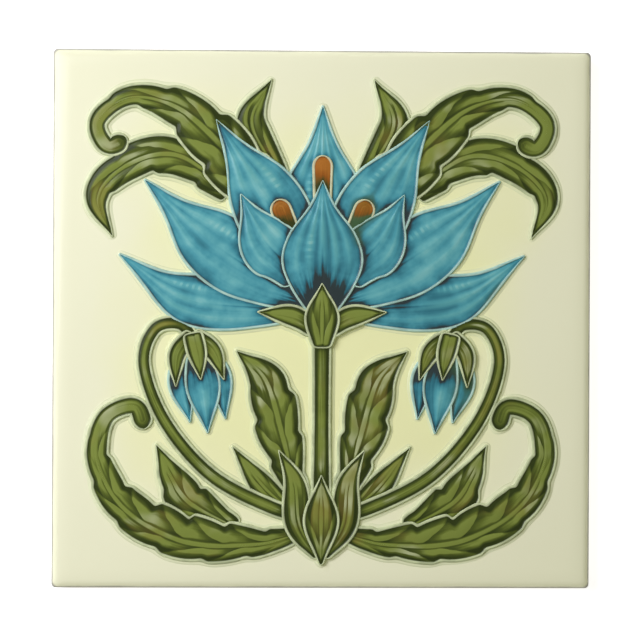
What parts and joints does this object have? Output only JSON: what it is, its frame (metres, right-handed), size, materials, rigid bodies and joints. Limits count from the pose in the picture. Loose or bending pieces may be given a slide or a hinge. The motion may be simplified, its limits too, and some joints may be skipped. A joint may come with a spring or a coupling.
{
  "type": "art nouveau tile",
  "caption": "Square relief-moulded ceramic wall tile: cream glazed ground, a flower and leaf ornament in low relief, rolled face edge and key grooves in the back.",
  "frame": {"origin": "centre of the back, on the plane of its ribs and rim: the face that beds on the wall, or rests on a floor", "axes": "+Z out of the glazed face, +Y towards the top of the picture, +X towards its right"},
  "size_m": [0.1524, 0.1524, 0.0102],
  "materials": {
    "cream_glaze": "glossy cream glaze, slightly yellow-green",
    "green_glaze": "glossy translucent olive green glaze, dark where it pools",
    "blue_glaze": "glossy translucent turquoise blue glaze, dark where it pools",
    "amber_glaze": "glossy translucent amber brown glaze"
  },
  "bodies": {
    "root": {"tile": "cream_glaze"}
  },
  "joints": []
}
